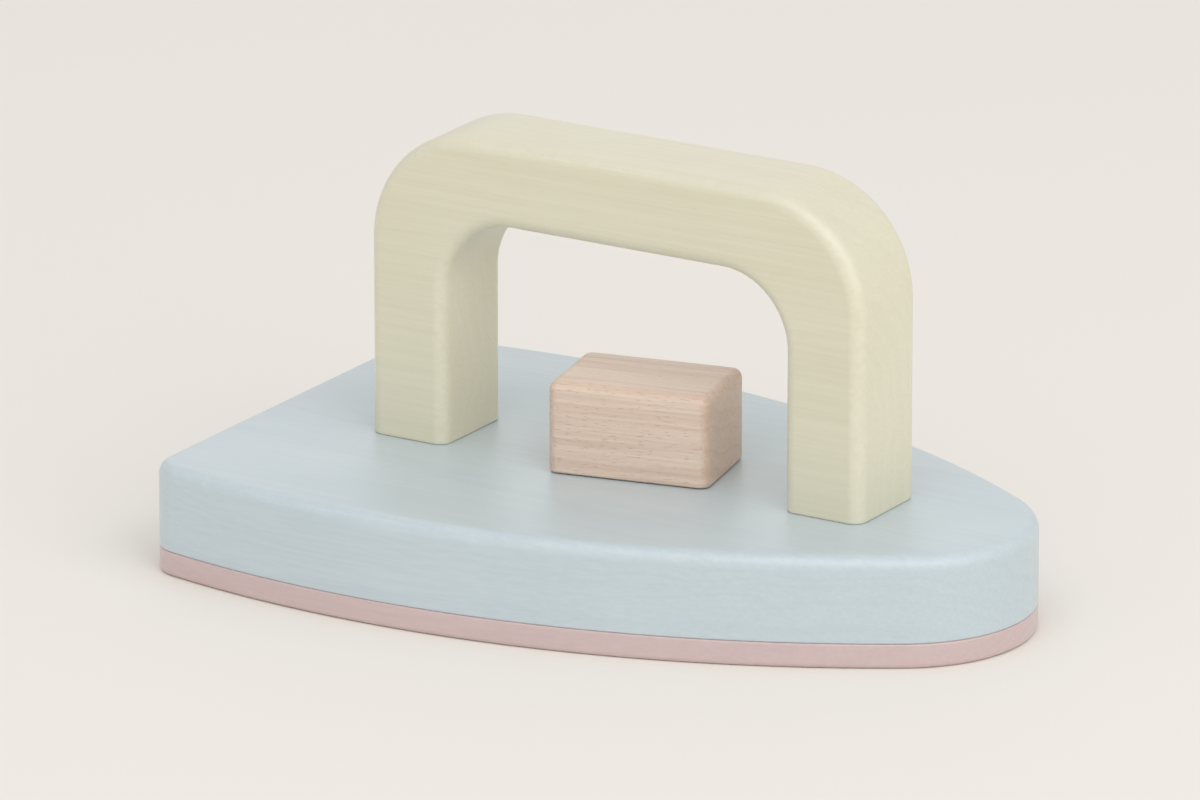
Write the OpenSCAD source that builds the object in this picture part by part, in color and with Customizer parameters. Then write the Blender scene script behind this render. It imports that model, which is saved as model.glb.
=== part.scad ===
// Toy iron of lacquered wood: a body block on a thin sole plate, an arched handle and a knob that turns.
// Millimetres. +X points to the nose, +Z is up, and the sole stands on z = 0.

/* [Body] */
// Length of the iron from the heel to the nose
iron_length = 150; // [130:1:180]
// Greatest width of the iron
iron_width = 97; // [84:1:106]
// Distance from the heel to the widest place
widest_from_heel = 42; // [28:1:54]
// Radius of the nose, seen from above
nose_radius = 24; // [16:1:32]
// Radius of the two heel corners, seen from above
heel_corner_radius = 7; // [5:0.5:12]
// Thickness of the body block
body_thickness = 15.5; // [14:0.5:24]
// Rounding of the body's top edge
body_edge_radius = 2.5; // [1:0.25:4]

/* [Sole plate] */
// Thickness of the sole plate
sole_thickness = 4.5; // [3:0.25:8]
// Rounding of the sole's bottom edge
sole_edge_radius = 1; // [0.5:0.1:1.5]
// Rounding of the two edges that meet at the glue line
glue_line_radius = 0.4; // [0.2:0.05:0.6]

/* [Handle] */
// Outer length of the arch
handle_length = 99.5; // [88:0.5:108]
// Height of the arch above the body
handle_height = 57; // [52:0.5:70]
// Thickness of the legs and the grip bar, in the plane of the arch
handle_bar = 15.5; // [12:0.5:18]
// Width of the handle across the iron
handle_width = 19.5; // [14:0.5:24]
// Radius of the arch's two corners, on the inside
handle_inner_radius = 13; // [8:0.5:16]
// Radius of the arch's two corners, on the outside
handle_outer_radius = 21; // [15:0.5:28]
// Rounding of the handle's long edges
handle_edge_radius = 2.5; // [1:0.25:4]
// Middle of the arch, measured from the middle of the iron towards the nose
handle_place = -1; // [-6:0.5:6]

/* [Handle screws] */
// Length of a handle screw
handle_screw_length = 35; // [30:1:40]
// Diameter of a handle screw's countersunk head
handle_screw_head = 7; // [6.5:0.1:8]
// Height of the countersunk head
handle_screw_head_height = 2.4; // [2:0.1:3]
// How far the head is sunk below the body's underside
handle_screw_sink = 0.3; // [0.1:0.1:1]

/* [Screw thread] */
// Diameter over the thread, on every screw
screw_diameter = 3.5; // [3:0.1:4]
// Pitch of the thread's rings
thread_pitch = 1.5; // [1.2:0.1:2]
// Depth of the thread
thread_depth = 0.5; // [0.3:0.05:0.6]
// Width of the cross recess in a screw head
recess_width = 0.9; // [0.7:0.1:1.2]
// Length of each arm of the cross recess, end to end
recess_length = 3.6; // [3:0.1:4]
// Depth of the cross recess
recess_depth = 1.4; // [1:0.1:1.6]

/* [Knob] */
// Length of the knob block
knob_length = 29.5; // [26:0.5:36]
// Width of the knob block
knob_width = 20; // [17:0.5:24]
// Height of the knob block
knob_height = 16.5; // [14:0.5:20]
// Rounding of the knob's upright and top edges
knob_edge_radius = 1.75; // [0.5:0.25:3]
// Rounding of the knob's bottom edges
knob_foot_radius = 0.5; // [0.25:0.25:1]
// Angle at which the knob is left standing, against the length of the iron
knob_angle = 12; // [-90:1:90]
// Middle of the knob, measured from the middle of the iron towards the nose
knob_place = 0; // [-6:0.5:6]

/* [Knob spindle] */
// Diameter of the dowel pin that the knob turns on
pin_diameter = 8; // [7:0.25:9]
// Depth to which the pin is glued into the knob
pin_depth = 11; // [8:0.5:12]
// How far the pin stands out of its bore, so that the washer turns free
pin_proud = 0.3; // [0.2:0.05:0.6]
// Diameter of the felt washer under the knob
felt_diameter = 14; // [12:0.5:14]
// Thickness of the felt washer
felt_thickness = 0.6; // [0.6:0.1:1.5]
// Depth of the seat in the knob's underside that holds the felt washer
felt_seat = 0.5; // [0.3:0.05:0.5]
// Diameter of the steel washer under the pin
washer_diameter = 14; // [12:0.5:18]
// Thickness of the steel washer
washer_thickness = 1; // [0.8:0.1:1.5]
// Length of the knob screw under its head
knob_screw_length = 14; // [12:0.5:16]
// Diameter of the knob screw's pan head
knob_screw_head = 7; // [6:0.1:8]
// Height of the knob screw's pan head
knob_screw_head_height = 2.4; // [2:0.1:3]

/* [Clearances] */
// Radial running clearance of the pin in its bore
running_clearance = 0.08; // [0.05:0.01:0.1]
// Gap between the felt washer and the body
felt_clearance = 0.05; // [0.05:0.05:0.2]
// Radial room round a screw, and round its head
screw_clearance = 0.05; // [0.02:0.01:0.1]
// Radial room round the steel washer in its pocket
pocket_clearance = 1; // [0.5:0.1:2]
// Room below the knob screw's head, above the sole plate
head_clearance = 0.8; // [0.5:0.1:1.5]
// Room past the point of a screw
point_clearance = 1; // [0.5:0.1:2]
// Radial room for the glue round the pin and the felt washer, in the knob
glue_clearance = 0.03; // [0.02:0.01:0.1]

/* [Hidden] */
$fn = 96;

// How far a cut runs past the face that it opens
cut = 1;

// Heights
body_bottom = sole_thickness;
body_top = body_bottom + body_thickness;
knob_bottom = body_top + felt_clearance + felt_thickness - felt_seat;

// Outline seen from above: side arcs that touch the nose arc and the heel corner arcs
heel_x = -iron_length / 2;
half_width = iron_width / 2;
widest_x = heel_x + widest_from_heel;
nose_centre = [iron_length / 2 - nose_radius, 0];
side_radius = (pow(nose_centre.x - widest_x, 2) + pow(half_width, 2) - pow(nose_radius, 2))
    / (2 * (half_width - nose_radius));
side_centre = [widest_x, half_width - side_radius];
corner_x = heel_x + heel_corner_radius;
corner_centre = [corner_x, side_centre.y
    + sqrt(pow(side_radius - heel_corner_radius, 2) - pow(corner_x - widest_x, 2))];
nose_angle = atan2(nose_centre.y - side_centre.y, nose_centre.x - side_centre.x);
heel_angle = atan2(corner_centre.y - side_centre.y, corner_centre.x - side_centre.x);

// Straight steps on each arc of the outline, and on each rounded edge
nose_steps = 24;
side_steps = 20;
corner_steps = 8;
bend_steps = 16;
edge_steps = 5;

// Points of one arc from its first angle up to, but without, its last
function arc_points(centre, radius, from, to, steps) = [for (i = [0:steps - 1])
    let (angle = from + (to - from) * i / steps) centre + radius * [cos(angle), sin(angle)]];

// The iron's outline moved inwards by an inset, anticlockwise: nose, one side, heel and the other side
function outline(inset) =
    let (far_side = [side_centre.x, -side_centre.y], far_corner = [corner_x, -corner_centre.y])
    concat(
        arc_points(nose_centre, nose_radius - inset, -nose_angle, nose_angle, nose_steps),
        arc_points(side_centre, side_radius - inset, nose_angle, heel_angle, side_steps),
        arc_points(corner_centre, heel_corner_radius - inset, heel_angle, 180, corner_steps),
        [corner_centre + [inset - heel_corner_radius, 0]],
        arc_points(far_corner, heel_corner_radius - inset, 180, 360 - heel_angle, corner_steps),
        arc_points(far_side, side_radius - inset, 360 - heel_angle, 360 - nose_angle, side_steps));

// Inset and height of each level of a plate, up its rounded bottom edge and then up its rounded top edge
function plate_levels(thickness, top_radius, bottom_radius) = concat(
    [for (i = [0:edge_steps]) let (angle = 90 * i / edge_steps)
        [bottom_radius * (1 - sin(angle)), bottom_radius * (1 - cos(angle))]],
    [for (i = [0:edge_steps]) let (angle = 90 * i / edge_steps)
        [top_radius * (1 - cos(angle)), thickness - top_radius * (1 - sin(angle))]]);

// Handle: an arch sawn from a board, its corners rounded with one radius outside and another inside
handle_top = body_top + handle_height;
half_arch = handle_length / 2;
half_opening = half_arch - handle_bar;
opening_top = handle_top - handle_bar;
leg_spread = (handle_length - handle_bar) / 2;
rear_leg_x = handle_place - leg_spread;
front_leg_x = handle_place + leg_spread;

// Points of an arch that stands on the body: up from its front foot, over two bends and down again
function arch(half_length, top, radius) =
    let (x = half_length - radius, z = top - radius)
    concat(
        [[half_length, body_top]],
        [for (i = [0:bend_steps]) let (angle = 90 * i / bend_steps)
            [x + radius * cos(angle), z + radius * sin(angle)]],
        [for (i = [0:bend_steps]) let (angle = 90 * i / bend_steps)
            [-x - radius * sin(angle), z + radius * cos(angle)]],
        [[-half_length, body_top]]);

// Screws
screw_radius = screw_diameter / 2;
screw_hole_radius = screw_radius + screw_clearance;
handle_screw_z = body_bottom + handle_screw_sink;
countersink_rim = 0.3;
crest_share = 0.7;

// Knob spindle, from the sole plate up
knob_screw_z = body_bottom + head_clearance;
washer_z = knob_screw_z + knob_screw_head_height;
pin_z = washer_z + washer_thickness;
pocket_top = pin_z + pin_proud;
pin_radius = pin_diameter / 2;
pin_length = knob_bottom + pin_depth - pin_z;
pin_hole_depth = knob_screw_length - washer_thickness + point_clearance;

body_blue = [0.72, 0.80, 0.84];
sole_pink = [0.84, 0.70, 0.69];
handle_yellow = [0.87, 0.84, 0.70];
bare_wood = [0.82, 0.70, 0.61];
steel_grey = [0.70, 0.71, 0.72];
felt_grey = [0.42, 0.41, 0.40];

// What is taken off a square corner to round it: the corner's square without its circle
module corner_waste(radius) {
    difference() {
        square(radius + cut);
        circle(radius);
    }
}

// Rectangle about the origin with four rounded corners
module rounded_rectangle(size, radius) {
    difference() {
        square(size, center = true);
        for (turn = [0, 1])
            mirror([turn, 0])
                for (flip = [0, 1])
                    mirror([0, flip])
                        translate(size / 2 - [radius, radius])
                            corner_waste(radius);
    }
}

// Solid with the iron's outline and rounded rims, standing on z = 0
module iron_plate(thickness, top_radius, bottom_radius) {
    levels = plate_levels(thickness, top_radius, bottom_radius);
    around = len(outline(0));
    top = len(levels) - 1;
    polyhedron(
        points = [for (level = levels) for (point = outline(level[0])) [point.x, point.y, level[1]]],
        faces = concat(
            [[for (i = [0:around - 1]) i]],
            [for (k = [0:top - 1]) for (i = [0:around - 1]) let (next = (i + 1) % around)
                [k * around + i, (k + 1) * around + i, (k + 1) * around + next, k * around + next]],
            [[for (i = [around - 1:-1:0]) top * around + i]]));
}

// Screw shank pointing up from z = 0: a plain neck, rings of thread and a point
module screw_shank(neck, length) {
    root = screw_radius - thread_depth;
    point = screw_diameter;
    rings = floor((length - neck - point - thread_depth) / thread_pitch);
    crest = crest_share * thread_pitch;
    rotate_extrude()
        polygon(concat(
            [[0, 0], [screw_radius, 0], [screw_radius, neck]],
            [for (i = [0:rings - 1]) each [[root, neck + i * thread_pitch + thread_depth],
                [screw_radius, neck + i * thread_pitch + crest]]],
            [[root, neck + rings * thread_pitch + thread_depth], [root, length - point], [0, length]]));
}

// Cross recess, cut into a head whose outer face is at z = 0
module cross_recess() {
    for (turn = [0, 90])
        rotate(turn)
            translate([-recess_length / 2, -recess_width / 2, -cut])
                cube([recess_length, recess_width, recess_depth + cut]);
}

// Countersunk head seen as a solid of revolution, with room added all round it for its seat
module countersunk_head(room) {
    head_radius = handle_screw_head / 2 + room;
    cylinder(h = countersink_rim, r = head_radius);
    translate([0, 0, countersink_rim])
        cylinder(h = handle_screw_head_height - countersink_rim, r1 = head_radius, r2 = screw_radius + room);
}

// Countersunk wood screw pointing up, its head's outer face at z = 0
module handle_screw(x) {
    color(steel_grey)
        translate([x, 0, handle_screw_z])
            difference() {
                union() {
                    countersunk_head(0);
                    screw_shank(body_thickness, handle_screw_length);
                }
                cross_recess();
            }
}

// Hole through the body for a handle screw, with the seat of its head open to the underside
module handle_screw_hole(x) {
    translate([x, 0, 0]) {
        translate([0, 0, handle_screw_z])
            countersunk_head(screw_clearance);
        translate([0, 0, body_bottom - cut])
            cylinder(h = handle_screw_sink + cut, r = handle_screw_head / 2 + screw_clearance);
        translate([0, 0, body_bottom - cut])
            cylinder(h = body_thickness + 2 * cut, r = screw_hole_radius);
    }
}

module body() {
    color(body_blue)
        difference() {
            translate([0, 0, body_bottom])
                iron_plate(body_thickness, body_edge_radius, glue_line_radius);
            for (x = [rear_leg_x, front_leg_x])
                handle_screw_hole(x);
            translate([knob_place, 0, body_bottom - cut]) {
                cylinder(h = body_thickness + 2 * cut, r = pin_radius + running_clearance);
                cylinder(h = pocket_top - body_bottom + cut, r = washer_diameter / 2 + pocket_clearance);
            }
        }
}

module sole_plate() {
    color(sole_pink)
        iron_plate(sole_thickness, glue_line_radius, sole_edge_radius);
}

// Arch with its long edges rounded: the outer and the inner line of the arch at every level across it
module sawn_arch() {
    levels = plate_levels(handle_width, handle_edge_radius, handle_edge_radius);
    outer = [for (level = levels) arch(half_arch - level[0], handle_top - level[0],
        handle_outer_radius - level[0])];
    inner = [for (level = levels) arch(half_opening + level[0], opening_top + level[0],
        handle_inner_radius + level[0])];
    around = len(outer[0]);
    last = around - 1;
    across = len(levels) - 1;
    inside = len(levels) * around;
    polyhedron(
        points = [for (line = [outer, inner]) for (k = [0:across]) for (point = line[k])
            [point.x, levels[k][1] - handle_width / 2, point.y]],
        faces = concat(
            [for (k = [0:across - 1]) for (i = [0:last - 1])
                [k * around + i, k * around + i + 1, (k + 1) * around + i + 1, (k + 1) * around + i]],
            [for (k = [0:across - 1]) for (i = [0:last - 1]) let (here = inside + k * around + i)
                [here, here + around, here + around + 1, here + 1]],
            [for (i = [0:last - 1]) [i, inside + i, inside + i + 1, i + 1]],
            [for (i = [0:last - 1]) let (here = across * around + i)
                [here, here + 1, inside + here + 1, inside + here]],
            [concat([for (k = [0:across]) k * around], [for (k = [across:-1:0]) inside + k * around])],
            [concat([for (k = [across:-1:0]) k * around + last],
                [for (k = [0:across]) inside + k * around + last])]));
}

module handle() {
    pilot_depth = handle_screw_z + handle_screw_length + point_clearance - body_top;
    color(handle_yellow)
        difference() {
            translate([handle_place, 0, 0])
                sawn_arch();
            for (x = [rear_leg_x, front_leg_x])
                translate([x, 0, body_top - cut])
                    cylinder(h = pilot_depth + cut, r = screw_hole_radius);
        }
}

module rear_handle_screw() {
    handle_screw(rear_leg_x);
}

module front_handle_screw() {
    handle_screw(front_leg_x);
}

// Side view of the knob: a rectangle about the origin, its top corners rounder than its bottom ones
module knob_side(length) {
    size = [length, knob_height];
    difference() {
        square(size, center = true);
        for (turn = [0, 1])
            mirror([turn, 0]) {
                translate(size / 2 - [knob_edge_radius, knob_edge_radius])
                    corner_waste(knob_edge_radius);
                mirror([0, 1])
                    translate(size / 2 - [knob_foot_radius, knob_foot_radius])
                        corner_waste(knob_foot_radius);
            }
    }
}

// Block standing on z = 0 with its edges rounded along all three directions
module knob_block() {
    translate([0, 0, knob_height / 2])
        intersection() {
            linear_extrude(knob_height, center = true)
                rounded_rectangle([knob_length, knob_width], knob_edge_radius);
            rotate([90, 0, 0])
                linear_extrude(knob_width, center = true)
                    knob_side(knob_length);
            rotate([90, 0, 90])
                linear_extrude(knob_length, center = true)
                    knob_side(knob_width);
        }
}

module knob() {
    color(bare_wood)
        translate([knob_place, 0, knob_bottom])
            rotate(knob_angle)
                difference() {
                    knob_block();
                    translate([0, 0, -cut]) {
                        cylinder(h = pin_depth + cut, r = pin_radius + glue_clearance);
                        cylinder(h = felt_seat + cut, r = felt_diameter / 2 + glue_clearance);
                    }
                }
}

module knob_pin() {
    color(bare_wood)
        translate([knob_place, 0, pin_z])
            difference() {
                cylinder(h = pin_length, r = pin_radius);
                translate([0, 0, -cut])
                    cylinder(h = pin_hole_depth + cut, r = screw_hole_radius);
            }
}

// Flat ring standing on z = 0
module ring(thickness, outer_radius, inner_radius) {
    difference() {
        cylinder(h = thickness, r = outer_radius);
        translate([0, 0, -cut])
            cylinder(h = thickness + 2 * cut, r = inner_radius);
    }
}

module knob_felt_washer() {
    color(felt_grey)
        translate([knob_place, 0, knob_bottom + felt_seat - felt_thickness])
            ring(felt_thickness, felt_diameter / 2, pin_radius + running_clearance);
}

module knob_washer() {
    color(steel_grey)
        translate([knob_place, 0, washer_z])
            ring(washer_thickness, washer_diameter / 2, screw_hole_radius);
}

// Pan-head screw pointing up: a low dome-like head with a sloped rim, bearing on the washer
module knob_screw() {
    head_radius = knob_screw_head / 2;
    rim_height = knob_screw_head_height / 2;
    color(steel_grey)
        translate([knob_place, 0, knob_screw_z])
            difference() {
                union() {
                    cylinder(h = rim_height, r1 = head_radius - rim_height / 2, r2 = head_radius);
                    translate([0, 0, rim_height])
                        cylinder(h = knob_screw_head_height - rim_height, r = head_radius);
                    translate([0, 0, knob_screw_head_height])
                        screw_shank(washer_thickness, knob_screw_length);
                }
                cross_recess();
            }
}

body();
sole_plate();
handle();
rear_handle_screw();
front_handle_screw();
knob();
knob_pin();
knob_felt_washer();
knob_washer();
knob_screw();
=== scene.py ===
"""Toy iron of lacquered wood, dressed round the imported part. Metres, +X to the nose, +Z up."""
import math

import bmesh
import bpy
import numpy as np
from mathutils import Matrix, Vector
from mathutils.geometry import delaunay_2d_cdt


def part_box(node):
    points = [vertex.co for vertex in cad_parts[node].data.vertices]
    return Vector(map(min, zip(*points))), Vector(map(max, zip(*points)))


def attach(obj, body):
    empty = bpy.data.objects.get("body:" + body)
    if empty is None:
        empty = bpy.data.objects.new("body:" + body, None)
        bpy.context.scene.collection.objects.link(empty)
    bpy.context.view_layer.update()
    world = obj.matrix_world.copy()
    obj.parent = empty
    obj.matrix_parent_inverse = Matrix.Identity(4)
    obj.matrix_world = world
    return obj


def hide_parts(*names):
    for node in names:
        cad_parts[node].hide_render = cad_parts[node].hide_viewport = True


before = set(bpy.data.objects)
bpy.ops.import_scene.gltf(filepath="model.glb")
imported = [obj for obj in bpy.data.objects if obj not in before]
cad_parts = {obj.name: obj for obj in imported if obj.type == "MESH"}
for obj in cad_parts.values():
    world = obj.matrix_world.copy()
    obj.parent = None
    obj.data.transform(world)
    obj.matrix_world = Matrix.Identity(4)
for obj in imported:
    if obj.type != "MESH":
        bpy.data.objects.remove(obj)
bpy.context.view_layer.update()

MM = 0.001
QUARTER_TURN = math.pi / 2
HALF_TURN = math.pi
FULL_TURN = 2 * math.pi

# Plan of the body and the sole plate
NOSE_RADIUS = 24 * MM
HEEL_CORNER_RADIUS = 7 * MM
WIDEST_FROM_HEEL = 42 * MM

# Rounded edges
BODY_EDGE_RADIUS = 2.5 * MM
SOLE_EDGE_RADIUS = 1.0 * MM
GLUE_LINE_RADIUS = 0.4 * MM
HANDLE_EDGE_RADIUS = 2.5 * MM
HANDLE_FOOT_RADIUS = 0.35 * MM
KNOB_EDGE_RADIUS = 1.75 * MM
KNOB_CORNER_RADIUS = 1.95 * MM
KNOB_FOOT_RADIUS = 0.5 * MM

# Handle and knob
HANDLE_BAR = 15.5 * MM
HANDLE_INNER_RADIUS = 13 * MM
HANDLE_OUTER_RADIUS = 21 * MM
KNOB_LENGTH = 29.5 * MM
KNOB_WIDTH = 20 * MM
FELT_SEAT = 0.5 * MM
KNOB_ANGLE = math.radians(12)

# Room round the pin and the screws in their bores
RUNNING_CLEARANCE = 0.08 * MM
GLUE_CLEARANCE = 0.03 * MM
SCREW_CLEARANCE = 0.05 * MM
SCREW_RADIUS = 1.75 * MM
COUNTERSINK_HEIGHT = 2.4 * MM
COUNTERSINK_RIM = 0.3 * MM
WASHER_ROOM = 1.0 * MM
PIN_PROUD = 0.3 * MM
POINT_ROOM = 1.0 * MM

# Fineness of the meshes: steps along each kind of arc
NOSE_STEPS = 72
SIDE_STEPS = 90
HEEL_CORNER_STEPS = 24
EDGE_STEPS = 10
FOOT_STEPS = 5
BEND_STEPS = 40
BORE_STEPS = 48

# The loop that keeps a flat face flat in the shading, and the angle from which an edge is shaded sharp
FLAT_LOOP = 0.15 * MM
SHARP_ANGLE = math.radians(40)

# Points of an outline that lie closer than this are one
OUTLINE_GAP = 1e-7

# Settings of the triangulation: keep what lies inside the rim, and how close two points count as one
INSIDE_THE_RIM = 1
SAME_POINT = 1e-9

# Screen colour curve: straight up to its knee, and a power of the value above it
SCREEN_WHITE = 255
CURVE_KNEE = 0.04045
CURVE_SLOPE = 12.92
CURVE_OFFSET = 0.055
CURVE_POWER = 2.4


def linear(red, green, blue):
    """Colour written as 8-bit screen values, turned into the linear values that a shader takes."""
    value = np.array([red, green, blue]) / SCREEN_WHITE
    curved = ((value + CURVE_OFFSET) / (1 + CURVE_OFFSET)) ** CURVE_POWER
    value = np.where(value <= CURVE_KNEE, value / CURVE_SLOPE, curved)
    return (*value.tolist(), 1.0)


# Colours
BODY_BLUE = linear(200, 213, 219)
BODY_BLUE_THIN = linear(215, 224, 226)
SOLE_PINK = linear(210, 188, 187)
SOLE_PINK_THIN = linear(222, 206, 202)
HANDLE_YELLOW = linear(228, 223, 198)
HANDLE_YELLOW_THIN = linear(236, 232, 216)
WOOD_LIGHT = linear(235, 212, 194)
WOOD_DARK = linear(209, 176, 153)
WOOD_FLECK = linear(172, 136, 112)
WOOD_END = linear(196, 163, 139)
FELT_LIGHT = linear(132, 129, 125)
FELT_DARK = linear(104, 101, 98)
STEEL_LIGHT = linear(190, 192, 195)
STEEL_DARK = linear(160, 163, 168)
FLOOR_WHITE = linear(243, 239, 232)

# Wood figure, in millimetres: scales of its noises along the grain and in the two ways across it
WANDER_GRAIN = (0.012, 0.09, 0.09)
FIBRE_GRAIN = (0.03, 1.5, 1.5)
FLECK_GRAIN = (0.6, 4.2, 4.2)

# Wood figure: what keeps only the ways across the grain, how far rings wander, and how uneven the years are
ACROSS_ONLY = (0.0, 1.0, 1.0)
RING_WANDER = 9.0
YEAR_SCALE = 0.2
YEAR_UNEVENNESS = 2.5

# Wood figure: the ranges over which the dark of a ring comes and goes, and those that pick fibres and flecks
LATE_WOOD = (0.25, 0.9)
YEAR_END = (0.9, 1.0)
FIBRE_RANGE = (0.3, 0.7)
FLECK_RANGE = (0.6, 0.74)
FIGURE = ("Rings", "Fibres", "Flecks")

# Cut of each piece, in millimetres: ring spacing, and what its coordinates gain to count from the pith
LACQUERED_RING_SPACING = 3.2
KNOB_RING_SPACING = 3.4
BODY_FROM_PITH = (0.0, 31.0, 46.0)
SOLE_FROM_PITH = (0.0, -24.0, 60.0)
HANDLE_FROM_PITH = (0.0, 40.0, -30.0)
KNOB_FROM_PITH = (0.0, 14.0, 22.0)

# Lacquer: its noises, its darker tone, and how much each effect darkens, roughens and raises it
CLOUD_SCALE = 0.04
CLOUD_RANGE = (0.3, 0.7)
RUB_SCALE = 0.5
RUB_RANGE = (0.3, 0.75)
RUB_THINNING = 0.35
PEEL_SCALE = 0.9
DARKER_SATURATION = 1.12
DARKER_VALUE = 0.91
LACQUER_DARKENING = {"Fibres": 0.42, "Rings": 0.2, "Clouds": 0.2, "Flecks": 0.2}
LACQUER_ROUGHNESS = 0.34
LACQUER_ROUGHENING = {"Clouds": 0.1, "Peel": 0.06, "Rubbed": -0.06}
LACQUER_RELIEF = {"Peel": 0.8, "Fibres": -0.5, "Flecks": -0.3}
LACQUER_RELIEF_HEIGHT = 0.016 * MM
LACQUER_IOR = 1.5
LACQUER_COAT_ROUGHNESS = 0.4
COAT_WEIGHT = 0.9

# Bare oiled wood: how much each effect darkens, roughens and raises it
WOOD_DARKENING = {"Fibres": 0.4, "Rings": 0.3}
WOOD_FLECKING = 0.3
WOOD_END_DARKENING = 0.4
WOOD_ROUGHNESS = 0.46
WOOD_ROUGHENING = {"Fibres": 0.12, "Ends": 0.15}
WOOD_RELIEF = {"Fibres": -0.6, "Flecks": -1.2}
WOOD_RELIEF_HEIGHT = 0.04 * MM
WOOD_COAT_ROUGHNESS = 0.42

# Plated steel and pressed felt
SCRATCH_GRAIN = (6.0, 6.0, 0.4)
SCRATCH_ROUGHENING = 0.2
SCRATCH_HEIGHT = 0.01 * MM
STEEL_ROUGHNESS = 0.25
FELT_SCALE = 3.5
FELT_ROUGHNESS = 0.95
FELT_HEIGHT = 0.2 * MM

# Reliefs show at their full height
BUMP_STRENGTH = 1.0

# Sockets of a Mix node that blends colours
MIX_FACTOR = 0
MIX_FIRST = 6
MIX_SECOND = 7
MIX_RESULT = 2

# Floor and light: each lamp's name, place, size, power and colour
FLOOR_REACH = 4.0
FLOOR_ROUGHNESS = 0.9
FLOOR_GLOSS = 0.2
WORLD_STRENGTH = 0.67
PLAIN_LIGHT = (1.0, 1.0, 1.0)
WARM_LIGHT = (1.0, 0.94, 0.84)
LAMPS = [
    ("key light", (1.7, -0.55, 1.2), 1.8, 11.5, PLAIN_LIGHT),
    ("top light", (0.6, -1.2, 2.0), 2.0, 12.5, PLAIN_LIGHT),
    ("fill light", (0.2, -1.9, 0.75), 1.5, 0.8, PLAIN_LIGHT),
    ("back light", (-1.3, 2.0, 1.2), 1.9, 3.0, WARM_LIGHT),
]

# Camera, from the photograph's viewing angle
VIEW_AZIMUTH = math.radians(31.6)
VIEW_ELEVATION = math.radians(17.9)
VIEW_DISTANCE = 2.1
VIEW_WIDTH = 0.208
VIEW_AIM = Vector((-0.0058, -0.0058, 0.0325))
SENSOR_WIDTH = 36.0


class Surface:
    """Points, faces and edge weights of one piece, gathered from grids and flat faces."""

    def __init__(self):
        self.points = np.zeros((0, 3))
        self.edge = np.zeros(0)
        self.end_grain = None
        self.faces = []

    def add(self, points, edge):
        """Adds points with one edge weight each, and gives their indices in the array's own shape."""
        first = len(self.points)
        self.points = np.concatenate([self.points, points.reshape(-1, 3)])
        self.edge = np.concatenate([self.edge, np.broadcast_to(edge, points.shape[:-1]).reshape(-1)])
        return np.arange(first, len(self.points)).reshape(points.shape[:-1])

    def skin(self, rings):
        """Quads between each ring of indices and the next, closed round each ring."""
        turned = np.roll(rings, -1, axis=1)
        quads = np.stack([rings[:-1], turned[:-1], turned[1:], rings[1:]], axis=-1)
        self.faces += quads.reshape(-1, 4).tolist()

    def cap(self, ring):
        """One flat face inside a ring of indices."""
        self.faces.append(ring.tolist())

    def cap_round_holes(self, rim, holes):
        """Flat level face inside a rim, as a triangulation held to the rim and to each hole's ring.

        A triangle with all three corners on one hole's ring would close that hole, so it is left out.
        """
        loops = [rim, *holes]
        index = np.concatenate(loops)
        owner = np.repeat(np.arange(len(loops)), [len(loop) for loop in loops])
        first = np.cumsum([0] + [len(loop) for loop in loops[:-1]])
        edges = np.concatenate([
            np.stack([start + np.arange(len(loop)), start + np.roll(np.arange(len(loop)), -1)], axis=-1)
            for start, loop in zip(first, loops)
        ])
        _, _, triangles, origin, _, _ = delaunay_2d_cdt(
            self.points[index, :2].tolist(), edges.tolist(), [], INSIDE_THE_RIM, SAME_POINT)
        corner = np.array(origin)[:, 0][np.array(triangles)]
        ring = owner[corner]
        closes_hole = (ring[:, 0] > 0) & (ring == ring[:, :1]).all(axis=1)
        self.faces += index[corner[~closes_hole]].tolist()

    def finish(self, name, body, slot, material, *nodes):
        """Makes the piece: outward faces, smooth curves, sharp rims, and its place among the bodies."""
        mesh = bpy.data.meshes.new(name)
        mesh.from_pydata(self.points.tolist(), [], self.faces)
        for label, weight in (("edge", self.edge), ("end_grain", self.end_grain)):
            if weight is not None:
                layer = mesh.attributes.new(label, "FLOAT", "POINT")
                layer.data.foreach_set("value", weight.astype(np.float32))
        shell = bmesh.new()
        shell.from_mesh(mesh)
        bmesh.ops.recalc_face_normals(shell, faces=shell.faces)
        shell.to_mesh(mesh)
        shell.free()
        mesh.shade_smooth()
        mesh.set_sharp_from_angle(angle=SHARP_ANGLE)
        mesh.materials.append(material)
        piece = bpy.data.objects.new(name, mesh)
        bpy.context.scene.collection.objects.link(piece)
        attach(piece, body)
        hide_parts(*nodes)


class Plan:
    """Closed outline of arcs: a point is its arc's centre plus the radius along the point's direction."""

    def __init__(self, arcs):
        """Each arc is (centre, radius, first angle, last angle, steps), anticlockwise round the outline."""
        angles = [np.linspace(first, last, steps + 1) for _, _, first, last, steps in arcs]
        count = [len(angle) for angle in angles]
        angle = np.concatenate(angles)
        self.centre = np.repeat([arc[0] for arc in arcs], count, axis=0)
        self.radius = np.repeat([arc[1] for arc in arcs], count)
        self.direction = np.stack([np.cos(angle), np.sin(angle)], axis=-1)
        points = self.inset(0)
        apart = np.linalg.norm(points - np.roll(points, 1, axis=0), axis=1) > OUTLINE_GAP
        self.centre = self.centre[apart]
        self.radius = self.radius[apart]
        self.direction = self.direction[apart]

    def inset(self, depth):
        """The outline moved inwards: every arc keeps its centre and loses the depth from its radius."""
        return self.centre + (self.radius - depth)[:, None] * self.direction


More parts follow.
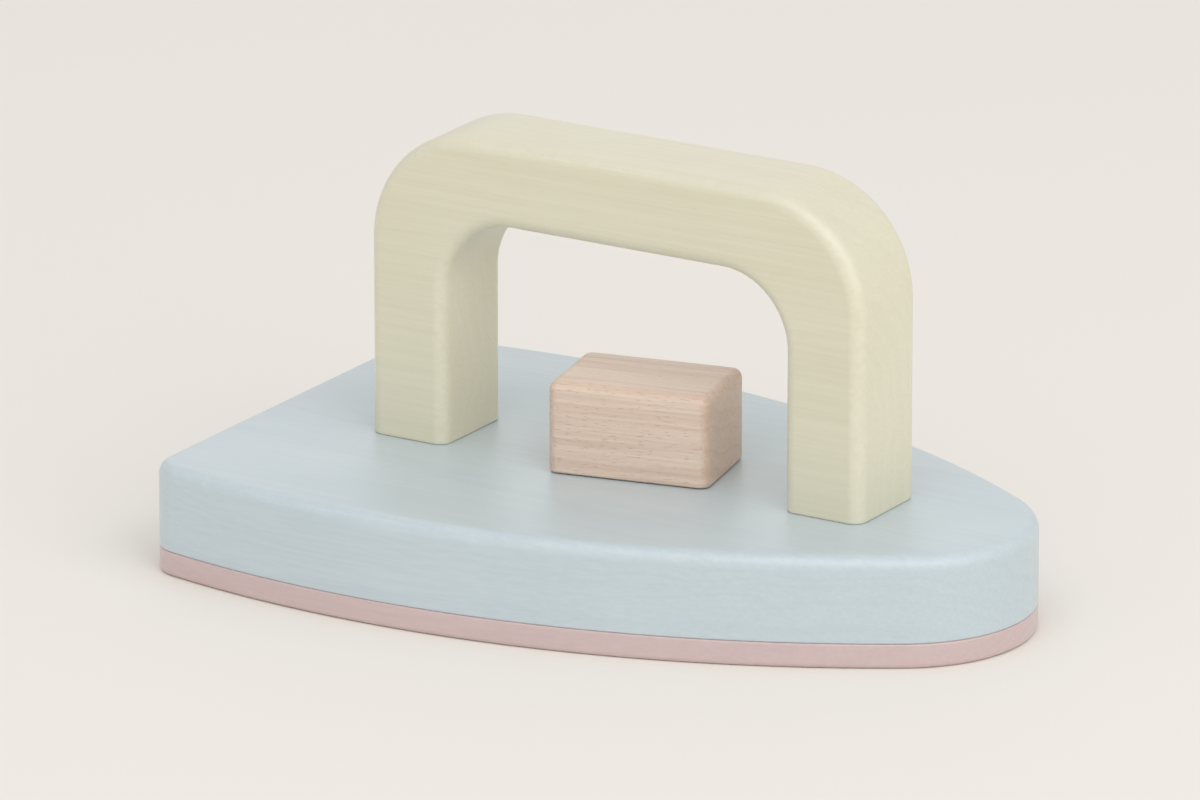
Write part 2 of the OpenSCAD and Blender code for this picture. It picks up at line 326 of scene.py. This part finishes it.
def iron_plan(low, high):
    """Plan of the iron: side arcs that touch a nose arc and two heel corner arcs, with a straight heel.

    A side arc's radius follows from the nose arc, the half width and where the iron is widest.
    """
    half_width = (high.y - low.y) / 2
    widest = low.x + WIDEST_FROM_HEEL
    nose = np.array([high.x - NOSE_RADIUS, 0.0])
    ahead = nose[0] - widest
    side_radius = (ahead**2 + half_width**2 - NOSE_RADIUS**2) / (2 * (half_width - NOSE_RADIUS))
    side = np.array([widest, half_width - side_radius])
    corner_x = low.x + HEEL_CORNER_RADIUS
    corner_rise = math.sqrt((side_radius - HEEL_CORNER_RADIUS) ** 2 - (corner_x - widest) ** 2)
    corner = np.array([corner_x, side[1] + corner_rise])
    nose_turn = math.atan2(-side[1], nose[0] - side[0])
    heel_turn = math.atan2(corner[1] - side[1], corner[0] - side[0])
    over = np.array([1, -1])
    return Plan([
        (nose, NOSE_RADIUS, -nose_turn, nose_turn, NOSE_STEPS),
        (side, side_radius, nose_turn, heel_turn, SIDE_STEPS),
        (corner, HEEL_CORNER_RADIUS, heel_turn, HALF_TURN, HEEL_CORNER_STEPS),
        (corner * over, HEEL_CORNER_RADIUS, HALF_TURN, FULL_TURN - heel_turn, HEEL_CORNER_STEPS),
        (side * over, side_radius, FULL_TURN - heel_turn, FULL_TURN - nose_turn, SIDE_STEPS),
    ])


def block_plan(length, width, radius):
    """Plan of a block: a rectangle about the origin with four round corners."""
    x, y = length / 2 - radius, width / 2 - radius
    corners = [(x, y), (-x, y), (-x, -y), (x, -y)]
    return Plan([
        (np.array(corner), radius, turn * QUARTER_TURN, (turn + 1) * QUARTER_TURN, EDGE_STEPS)
        for turn, corner in enumerate(corners)
    ])


def rim_levels(bottom, top, bottom_radius, top_radius):
    """Inset, height and edge weight of each level of a plate, from its underside to its top.

    Each edge is a quarter circle, and its weight is the sine of twice the angle, so it is 1 half way round.
    One loop inside each flat face, and one on the wall by each edge, keep the flat parts flat.
    """
    turn = np.linspace(0, QUARTER_TURN, EDGE_STEPS + 1)
    round_in, round_up = 1 - np.sin(turn), 1 - np.cos(turn)
    inset = np.concatenate([
        [bottom_radius + FLAT_LOOP], bottom_radius * round_in, [0, 0], top_radius * round_up,
        [top_radius + FLAT_LOOP],
    ])
    height = np.concatenate([
        [bottom], bottom + bottom_radius * round_up, [bottom + bottom_radius + FLAT_LOOP],
        [top - top_radius - FLAT_LOOP], top - top_radius * round_in, [top],
    ])
    weight = np.sin(2 * turn)
    edge = np.concatenate([[0], weight, [0, 0], weight, [0]])
    return inset, height, edge


def bore(surface, x, y, profile):
    """Round hole turned about an upright axis: rings of (radius, height) pairs, from mouth to end."""
    turn = np.linspace(0, FULL_TURN, BORE_STEPS, endpoint=False)
    radius, height = np.array(profile).T
    points = np.stack([
        x + radius[:, None] * np.cos(turn),
        y + radius[:, None] * np.sin(turn),
        np.broadcast_to(height[:, None], (len(profile), BORE_STEPS)),
    ], axis=-1)
    rings = surface.add(points, 0)
    surface.skin(rings)
    return rings


def rimmed_solid(plan, bottom, top, bottom_radius, top_radius, corner_weight=0):
    """Flat solid with a rounded rim: the plan's outline at every level, with both flat faces left open."""
    surface = Surface()
    inset, height, edge = rim_levels(bottom, top, bottom_radius, top_radius)
    outline = np.stack([plan.inset(depth) for depth in inset])
    level = np.broadcast_to(height[:, None, None], (*outline.shape[:2], 1))
    weight = np.maximum(edge[:, None], corner_weight)
    rings = surface.add(np.concatenate([outline, level], axis=-1), weight)
    surface.skin(rings)
    return surface, rings


def make_body(material):
    """Body block, with the pin's bore, its washer pocket and the two countersunk screw holes."""
    low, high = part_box("body")
    plan = iron_plan(low, high)
    surface, rings = rimmed_solid(plan, low.z, high.z, GLUE_LINE_RADIUS, BODY_EDGE_RADIUS)
    pin_low, pin_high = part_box("knob_pin")
    washer_low, washer_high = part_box("knob_washer")
    pin_radius = (pin_high.x - pin_low.x) / 2 + RUNNING_CLEARANCE
    pocket_radius = (washer_high.x - washer_low.x) / 2 + WASHER_ROOM
    pocket_top = pin_low.z + PIN_PROUD
    pin_profile = [
        (pin_radius, high.z), (pin_radius, pocket_top),
        (pocket_radius, pocket_top), (pocket_radius, low.z),
    ]
    bores = [bore(surface, (pin_low.x + pin_high.x) / 2, 0, pin_profile)]
    hole_radius = SCREW_RADIUS + SCREW_CLEARANCE
    for node in ("rear_handle_screw", "front_handle_screw"):
        head_low, head_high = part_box(node)
        head_radius = (head_high.x - head_low.x) / 2 + SCREW_CLEARANCE
        screw_profile = [
            (hole_radius, high.z), (hole_radius, head_low.z + COUNTERSINK_HEIGHT),
            (head_radius, head_low.z + COUNTERSINK_RIM), (head_radius, low.z),
        ]
        bores.append(bore(surface, (head_low.x + head_high.x) / 2, 0, screw_profile))
    surface.cap_round_holes(rings[-1], [hole[0] for hole in bores])
    surface.cap_round_holes(rings[0], [hole[-1] for hole in bores])
    surface.finish("body_block", "iron", "body_lacquer", material, "body")


def make_sole(material):
    """Sole plate under the body, with the same plan and a softened bottom edge."""
    low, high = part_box("sole_plate")
    plan = iron_plan(low, high)
    surface, rings = rimmed_solid(plan, low.z, high.z, SOLE_EDGE_RADIUS, GLUE_LINE_RADIUS)
    surface.cap(rings[-1])
    surface.cap(rings[0])
    surface.finish("sole_panel", "iron", "sole_lacquer", material, "sole_plate")


def arch_stations(half_length, top, radius, foot_z):
    """Stations along an arch: up the front leg, round two quarter bends and down the rear leg.

    A point of the arch is its station's middle plus the bend radius along the station's outward direction,
    so a longer or shorter reach than the radius moves the whole arch outwards or inwards.
    """
    x, z = half_length - radius, top - radius
    turn = np.linspace(0, QUARTER_TURN, BEND_STEPS + 1)
    leg_z = np.concatenate([foot_z, [z - FLAT_LOOP]])
    leg, bend = len(leg_z), len(turn)
    angle = np.concatenate([
        np.zeros(leg), turn, np.full(2, QUARTER_TURN), QUARTER_TURN + turn, np.full(leg, HALF_TURN)])
    middle_x = np.concatenate([
        np.full(leg + bend, x), [x - FLAT_LOOP, FLAT_LOOP - x], np.full(bend + leg, -x)])
    middle_z = np.concatenate([leg_z, np.full(2 * bend + 2, z), leg_z[::-1]])
    return middle_x, middle_z, angle


def arch_points(stations, reach, across):
    """Points of every station at every level across the arch, from a reach and a place across for each."""
    middle_x, middle_z, angle = (part[:, None] for part in stations)
    return np.stack([middle_x + reach * np.cos(angle), across, middle_z + reach * np.sin(angle)], axis=-1)


def make_handle(material):
    """Arched handle sawn from a board: an outer and an inner arch with their own bends, and rounded edges.

    Each section is the levels across the outer arch and back across the inner one. Next to the body the
    section shrinks by a small quarter circle, so the feet are eased.
    """
    low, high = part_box("handle")
    half_length = (high.x - low.x) / 2
    ease = np.linspace(0, QUARTER_TURN, FOOT_STEPS + 1)
    eased = np.concatenate([1 - np.cos(ease), [1 + FLAT_LOOP / HANDLE_FOOT_RADIUS]])
    foot_z = low.z + HANDLE_FOOT_RADIUS * eased
    outer = arch_stations(half_length, high.z, HANDLE_OUTER_RADIUS, foot_z)
    inner = arch_stations(half_length - HANDLE_BAR, high.z - HANDLE_BAR, HANDLE_INNER_RADIUS, foot_z)
    shrink = np.zeros((len(outer[0]), 1))
    shrink[:len(ease), 0] = HANDLE_FOOT_RADIUS * (1 - np.sin(ease))
    shrink[-len(ease):] = shrink[:len(ease)][::-1]
    inset, across, edge = rim_levels(low.y, high.y, HANDLE_EDGE_RADIUS, HANDLE_EDGE_RADIUS)
    turn = np.linspace(0, QUARTER_TURN, EDGE_STEPS + 1)
    inward = np.concatenate([[0], np.sin(turn), [1, 1], np.cos(turn), [0]])
    sideways = np.concatenate([[-1], -np.cos(turn), [0, 0], np.sin(turn), [1]])
    depth = inset + shrink * inward
    across = across - shrink * sideways
    points = np.concatenate([
        arch_points(outer, HANDLE_OUTER_RADIUS - depth, across),
        arch_points(inner, HANDLE_INNER_RADIUS + depth, across)[:, ::-1],
    ], axis=1)
    points[..., 0] += (low.x + high.x) / 2
    surface = Surface()
    rings = surface.add(points, np.concatenate([edge, edge[::-1]]))
    surface.skin(rings)
    hole_radius = SCREW_RADIUS + SCREW_CLEARANCE
    for node, foot in (("front_handle_screw", rings[0]), ("rear_handle_screw", rings[-1])):
        screw_low, screw_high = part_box(node)
        x = (screw_low.x + screw_high.x) / 2
        hole = bore(surface, x, 0, [(hole_radius, low.z), (hole_radius, screw_high.z + POINT_ROOM)])
        surface.cap_round_holes(foot, [hole[0]])
        surface.cap(hole[-1])
    surface.finish("handle_arch", "iron", "handle_lacquer", material, "handle")


def make_knob(material):
    """Block knob with rounded edges, its felt washer's seat and the blind hole for its pin, standing turned.

    A corner's weight is the sine of twice its direction. End grain grows from 0 to 1 across the rounded edge
    at each end. The finished points are turned about the upright axis.
    """
    low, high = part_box("knob")
    pin_low, pin_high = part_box("knob_pin")
    felt_low, felt_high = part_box("knob_felt_washer")
    plan = block_plan(KNOB_LENGTH, KNOB_WIDTH, KNOB_CORNER_RADIUS)
    corner = np.abs(np.sin(2 * np.arctan2(plan.direction[:, 1], plan.direction[:, 0])))
    surface, rings = rimmed_solid(plan, low.z, high.z, KNOB_FOOT_RADIUS, KNOB_EDGE_RADIUS, corner)
    pin_radius = (pin_high.x - pin_low.x) / 2 + GLUE_CLEARANCE
    seat_radius = (felt_high.x - felt_low.x) / 2 + GLUE_CLEARANCE
    seat_top = low.z + FELT_SEAT
    pin_profile = [
        (seat_radius, low.z), (seat_radius, seat_top),
        (pin_radius, seat_top), (pin_radius, pin_high.z),
    ]
    hole = bore(surface, 0, 0, pin_profile)
    surface.cap(rings[-1])
    surface.cap_round_holes(rings[0], [hole[0]])
    surface.cap(hole[-1])
    past_round = np.abs(surface.points[:, 0]) - (KNOB_LENGTH / 2 - KNOB_EDGE_RADIUS)
    surface.end_grain = np.clip(past_round / KNOB_EDGE_RADIUS, 0, 1)
    cosine, sine = math.cos(KNOB_ANGLE), math.sin(KNOB_ANGLE)
    turned = np.array([[cosine, sine, 0], [-sine, cosine, 0], [0, 0, 1]])
    surface.points = surface.points @ turned + np.array([(low.x + high.x) / 2, 0, 0])
    surface.finish("block_knob", "knob", "bare_wood", material, "knob")


def feed(tree, node, inputs):
    """Gives each named input of a node its value: a link if it is a socket, or else a constant."""
    for key, value in inputs.items():
        socket = node.inputs[key]
        if isinstance(value, bpy.types.NodeSocket):
            tree.links.new(value, socket)
        else:
            socket.default_value = value


def add_node(tree, kind, inputs, **settings):
    """Shader node with its settings and its inputs."""
    node = tree.nodes.new(kind)
    for name, value in settings.items():
        setattr(node, name, value)
    feed(tree, node, inputs)
    return node


def math_node(tree, operation, *values):
    """Result of a Math node on up to three sockets or numbers."""
    return add_node(tree, "ShaderNodeMath", dict(enumerate(values)), operation=operation).outputs[0]


def weighted_sum(tree, start, weights, effects):
    """A start value plus each named effect times its weight."""
    total = start
    for name, weight in weights.items():
        total = math_node(tree, "MULTIPLY_ADD", effects[name], weight, total)
    return total


def stretch(tree, vector, scale):
    """A vector with each part multiplied, to draw a pattern out along the grain."""
    return add_node(tree, "ShaderNodeVectorMath", {0: vector, 1: scale}, operation="MULTIPLY").outputs[0]


def noise(tree, vector, scale=1.0, detail=2.0, roughness=0.5):
    """Smooth noise from 0 to 1."""
    inputs = {"Vector": vector, "Scale": scale, "Detail": detail, "Roughness": roughness}
    return add_node(tree, "ShaderNodeTexNoise", inputs).outputs[0]


def soft_step(tree, value, low, high, to_low=0.0, to_high=1.0):
    """Value carried smoothly from one range to another, and held at its ends."""
    inputs = {"Value": value, "From Min": low, "From Max": high, "To Min": to_low, "To Max": to_high}
    return add_node(tree, "ShaderNodeMapRange", inputs, interpolation_type="SMOOTHSTEP").outputs[0]


def blend_colour(tree, factor, first, second):
    """Colour between two colours."""
    inputs = {MIX_FACTOR: factor, MIX_FIRST: first, MIX_SECOND: second}
    return add_node(tree, "ShaderNodeMix", inputs, data_type="RGBA").outputs[MIX_RESULT]


def piece_weight(tree, name):
    """A weight that the points of the piece's own mesh carry."""
    return add_node(tree, "ShaderNodeAttribute", {}, attribute_name=name).outputs["Fac"]


def bump(tree, height, distance):
    """Normal of a relief whose height from 0 to 1 stands for a real distance."""
    inputs = {"Strength": BUMP_STRENGTH, "Distance": distance, "Height": height}
    return add_node(tree, "ShaderNodeBump", inputs).outputs[0]


def new_group(name, inputs, outputs):
    """Empty shader node group with its named sockets: the tree, what it is given, and its output node."""
    tree = bpy.data.node_groups.new(name, "ShaderNodeTree")
    for direction, sockets in (("INPUT", inputs), ("OUTPUT", outputs)):
        for socket, kind in sockets.items():
            tree.interface.new_socket(socket, in_out=direction, socket_type="NodeSocket" + kind)
    return tree, tree.nodes.new("NodeGroupInput").outputs, tree.nodes.new("NodeGroupOutput")


def wood_figure_group():
    """Figure of solid wood, in millimetres with the grain along X.

    Rings are the fraction of the distance from a pith axis over the ring spacing, bent and spaced by slow
    noise. Fibres are noise drawn out along the grain, and flecks are the peaks of a shorter drawn-out noise.
    """
    tree, given, out = new_group(
        "wood figure",
        {"Vector": "Vector", "Ring Spacing": "Float", "From Pith": "Vector"},
        {"Rings": "Float", "Fibres": "Float", "Flecks": "Float"})
    vector = given["Vector"]
    pith_inputs = {0: vector, 1: given["From Pith"]}
    moved = add_node(tree, "ShaderNodeVectorMath", pith_inputs, operation="ADD").outputs[0]
    across = stretch(tree, moved, ACROSS_ONLY)
    distance = add_node(tree, "ShaderNodeVectorMath", {0: across}, operation="LENGTH").outputs["Value"]
    wander = noise(tree, stretch(tree, vector, WANDER_GRAIN))
    bent = math_node(tree, "MULTIPLY_ADD", wander, RING_WANDER, distance)
    years = math_node(tree, "DIVIDE", bent, given["Ring Spacing"])
    year_inputs = {"W": bent, "Scale": YEAR_SCALE, "Detail": 1.0}
    uneven = add_node(tree, "ShaderNodeTexNoise", year_inputs, noise_dimensions="1D").outputs[0]
    phase = math_node(tree, "FRACT", math_node(tree, "MULTIPLY_ADD", uneven, YEAR_UNEVENNESS, years))
    rise = soft_step(tree, phase, *LATE_WOOD)
    fall = soft_step(tree, phase, *YEAR_END, to_low=1.0, to_high=0.0)
    strands = noise(tree, stretch(tree, vector, FIBRE_GRAIN), detail=2.5, roughness=0.6)
    dashes = noise(tree, stretch(tree, vector, FLECK_GRAIN), detail=1.0)
    feed(tree, out, {
        "Rings": math_node(tree, "MULTIPLY", rise, fall),
        "Fibres": soft_step(tree, strands, *FIBRE_RANGE),
        "Flecks": soft_step(tree, dashes, *FLECK_RANGE),
    })
    return tree


def lacquer_group(figure):
    """Thin satin lacquer over wood, in millimetres: the wood's figure shows faintly through it.

    The colour darkens a little with the fibres, the rings, the flecks and slow clouds, and thins where edges
    are rubbed. Clouds, a fine peel and rubbing change the gloss. Peel, fibres and flecks make the relief.
    """
    tree, given, out = new_group(
        "lacquer over wood",
        {
            "Vector": "Vector", "From Pith": "Vector",
            "Colour": "Color", "Thin Colour": "Color", "Edge": "Float",
        },
        {"Colour": "Color", "Roughness": "Float", "Height": "Float"})
    vector = given["Vector"]
    wood = add_node(tree, "ShaderNodeGroup", {
        "Vector": vector,
        "Ring Spacing": LACQUERED_RING_SPACING,
        "From Pith": given["From Pith"],
    }, node_tree=figure)
    broken = soft_step(tree, noise(tree, vector, RUB_SCALE, detail=4.0, roughness=0.7), *RUB_RANGE)
    effects = {name: wood.outputs[name] for name in FIGURE}
    effects["Clouds"] = soft_step(tree, noise(tree, vector, CLOUD_SCALE, detail=3.0), *CLOUD_RANGE)
    effects["Peel"] = noise(tree, vector, PEEL_SCALE)
    effects["Rubbed"] = math_node(tree, "MULTIPLY", given["Edge"], broken)
    darker = add_node(tree, "ShaderNodeHueSaturation", {
        "Saturation": DARKER_SATURATION,
        "Value": DARKER_VALUE,
        "Color": given["Colour"],
    }).outputs[0]
    darkening = weighted_sum(tree, 0.0, LACQUER_DARKENING, effects)
    coloured = blend_colour(tree, darkening, given["Colour"], darker)
    thinning = math_node(tree, "MULTIPLY", effects["Rubbed"], RUB_THINNING)
    feed(tree, out, {
        "Colour": blend_colour(tree, thinning, coloured, given["Thin Colour"]),
        "Roughness": weighted_sum(tree, LACQUER_ROUGHNESS, LACQUER_ROUGHENING, effects),
        "Height": weighted_sum(tree, 0.0, LACQUER_RELIEF, effects),
    })
    return tree


def new_material(name):
    """Material with its node tree and its Principled shader."""
    material = bpy.data.materials.new(name)
    material.use_nodes = True
    tree = material.node_tree
    return material, tree, tree.nodes["Principled BSDF"]


def in_millimetres(tree, turn=0.0):
    """The piece's own coordinates as millimetres, turned so that X runs along the grain."""
    place = tree.nodes.new("ShaderNodeTexCoord").outputs["Object"]
    inputs = {"Vector": place, "Scale": (1 / MM, 1 / MM, 1 / MM), "Rotation": (0.0, 0.0, -turn)}
    return add_node(tree, "ShaderNodeMapping", inputs).outputs[0]


def lacquer_material(name, group, colour, thin_colour, from_pith):
    """Satin lacquer on one wooden piece, with its own colour and its own cut out of the tree."""
    material, tree, shader = new_material(name)
    coat = add_node(tree, "ShaderNodeGroup", {
        "Vector": in_millimetres(tree),
        "From Pith": from_pith,
        "Colour": colour,
        "Thin Colour": thin_colour,
        "Edge": piece_weight(tree, "edge"),
    }, node_tree=group)
    feed(tree, shader, {
        "Base Color": coat.outputs["Colour"],
        "Roughness": coat.outputs["Roughness"],
        "Normal": bump(tree, coat.outputs["Height"], LACQUER_RELIEF_HEIGHT),
        "IOR": LACQUER_IOR,
        "Coat Weight": COAT_WEIGHT,
        "Coat Roughness": LACQUER_COAT_ROUGHNESS,
    })
    return material


def bare_wood_material(figure):
    """Bare oiled wood: light and dark of the rings and fibres, short flecks, and darker end grain."""
    material, tree, shader = new_material("bare wood")
    wood = add_node(tree, "ShaderNodeGroup", {
        "Vector": in_millimetres(tree, KNOB_ANGLE),
        "Ring Spacing": KNOB_RING_SPACING,
        "From Pith": KNOB_FROM_PITH,
    }, node_tree=figure)
    effects = {name: wood.outputs[name] for name in FIGURE}
    effects["Ends"] = piece_weight(tree, "end_grain")
    grained = blend_colour(tree, weighted_sum(tree, 0.0, WOOD_DARKENING, effects), WOOD_LIGHT, WOOD_DARK)
    flecking = math_node(tree, "MULTIPLY", effects["Flecks"], WOOD_FLECKING)
    flecked = blend_colour(tree, flecking, grained, WOOD_FLECK)
    end_darkening = math_node(tree, "MULTIPLY", effects["Ends"], WOOD_END_DARKENING)
    feed(tree, shader, {
        "Base Color": blend_colour(tree, end_darkening, flecked, WOOD_END),
        "Roughness": weighted_sum(tree, WOOD_ROUGHNESS, WOOD_ROUGHENING, effects),
        "Normal": bump(tree, weighted_sum(tree, 0.0, WOOD_RELIEF, effects), WOOD_RELIEF_HEIGHT),
        "Coat Weight": COAT_WEIGHT,
        "Coat Roughness": WOOD_COAT_ROUGHNESS,
    })
    return material


def steel_material():
    """Zinc-plated steel with fine drawn scratches."""
    material, tree, shader = new_material("plated steel")
    scratch = noise(tree, stretch(tree, in_millimetres(tree), SCRATCH_GRAIN), detail=3.0)
    feed(tree, shader, {
        "Base Color": blend_colour(tree, scratch, STEEL_LIGHT, STEEL_DARK),
        "Roughness": math_node(tree, "MULTIPLY_ADD", scratch, SCRATCH_ROUGHENING, STEEL_ROUGHNESS),
        "Normal": bump(tree, scratch, SCRATCH_HEIGHT),
        "Metallic": 1.0,
    })
    return material


def felt_material():
    """Grey pressed felt: a matted fibre noise in colour and surface."""
    material, tree, shader = new_material("pressed felt")
    matted = noise(tree, in_millimetres(tree), FELT_SCALE, detail=5.0, roughness=0.7)
    feed(tree, shader, {
        "Base Color": blend_colour(tree, matted, FELT_DARK, FELT_LIGHT),
        "Roughness": FELT_ROUGHNESS,
        "Normal": bump(tree, matted, FELT_HEIGHT),
    })
    return material


def dress_cad_node(node, material):
    """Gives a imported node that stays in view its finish."""
    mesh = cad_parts[node].data
    mesh.materials.clear()
    mesh.materials.append(material)


def make_floor():
    """Plain pale floor under the iron: one level square about the origin."""
    corners = np.array([[-1, -1, 0], [1, -1, 0], [1, 1, 0], [-1, 1, 0]]) * FLOOR_REACH
    mesh = bpy.data.meshes.new("floor")
    mesh.from_pydata(corners.tolist(), [], [[0, 1, 2, 3]])
    material, tree, shader = new_material("pale floor")
    feed(tree, shader, {
        "Base Color": FLOOR_WHITE,
        "Roughness": FLOOR_ROUGHNESS,
        "Specular IOR Level": FLOOR_GLOSS,
    })
    mesh.materials.append(material)
    floor = bpy.data.objects.new("floor", mesh)
    bpy.context.scene.collection.objects.link(floor)


def aim(thing, place, target):
    """Puts a light or camera at a place, looking at a target."""
    thing.location = place
    thing.rotation_euler = (Vector(target) - Vector(place)).to_track_quat("-Z", "Y").to_euler()


def make_light(name, place, size, power, colour):
    """Soft square studio light that faces the iron."""
    lamp = bpy.data.lights.new(name, "AREA")
    lamp.size = size
    lamp.energy = power
    lamp.color = colour
    light = bpy.data.objects.new(name, lamp)
    bpy.context.scene.collection.objects.link(light)
    aim(light, place, VIEW_AIM)


def make_world():
    """Even pale light from all round."""
    world = bpy.data.worlds.new("studio")
    world.use_nodes = True
    background = world.node_tree.nodes["Background"]
    background.inputs["Color"].default_value = (*PLAIN_LIGHT, 1.0)
    background.inputs["Strength"].default_value = WORLD_STRENGTH
    bpy.context.scene.world = world


def make_camera():
    """Camera at the photograph's viewing angle, with a long lens, framed on the iron."""
    lens = bpy.data.cameras.new("camera")
    lens.sensor_width = SENSOR_WIDTH
    lens.lens = SENSOR_WIDTH * VIEW_DISTANCE / VIEW_WIDTH
    camera = bpy.data.objects.new("camera", lens)
    bpy.context.scene.collection.objects.link(camera)
    back = Vector((
        math.sin(VIEW_AZIMUTH) * math.cos(VIEW_ELEVATION),
        -math.cos(VIEW_AZIMUTH) * math.cos(VIEW_ELEVATION),
        math.sin(VIEW_ELEVATION),
    ))
    aim(camera, VIEW_AIM + VIEW_DISTANCE * back, VIEW_AIM)
    bpy.context.scene.camera = camera


# Finishes and pieces
wood_figure = wood_figure_group()
lacquer = lacquer_group(wood_figure)
make_body(lacquer_material("blue lacquer", lacquer, BODY_BLUE, BODY_BLUE_THIN, BODY_FROM_PITH))
make_sole(lacquer_material("pink lacquer", lacquer, SOLE_PINK, SOLE_PINK_THIN, SOLE_FROM_PITH))
make_handle(lacquer_material("yellow lacquer", lacquer, HANDLE_YELLOW, HANDLE_YELLOW_THIN, HANDLE_FROM_PITH))
bare_wood = bare_wood_material(wood_figure)
make_knob(bare_wood)
steel = steel_material()
dress_cad_node("knob_pin", bare_wood)
dress_cad_node("knob_felt_washer", felt_material())
for steel_node in ("rear_handle_screw", "front_handle_screw", "knob_washer", "knob_screw"):
    dress_cad_node(steel_node, steel)

# Stage
make_floor()
make_world()
for lamp_values in LAMPS:
    make_light(*lamp_values)
make_camera()
bpy.context.scene.view_settings.view_transform = "Standard"
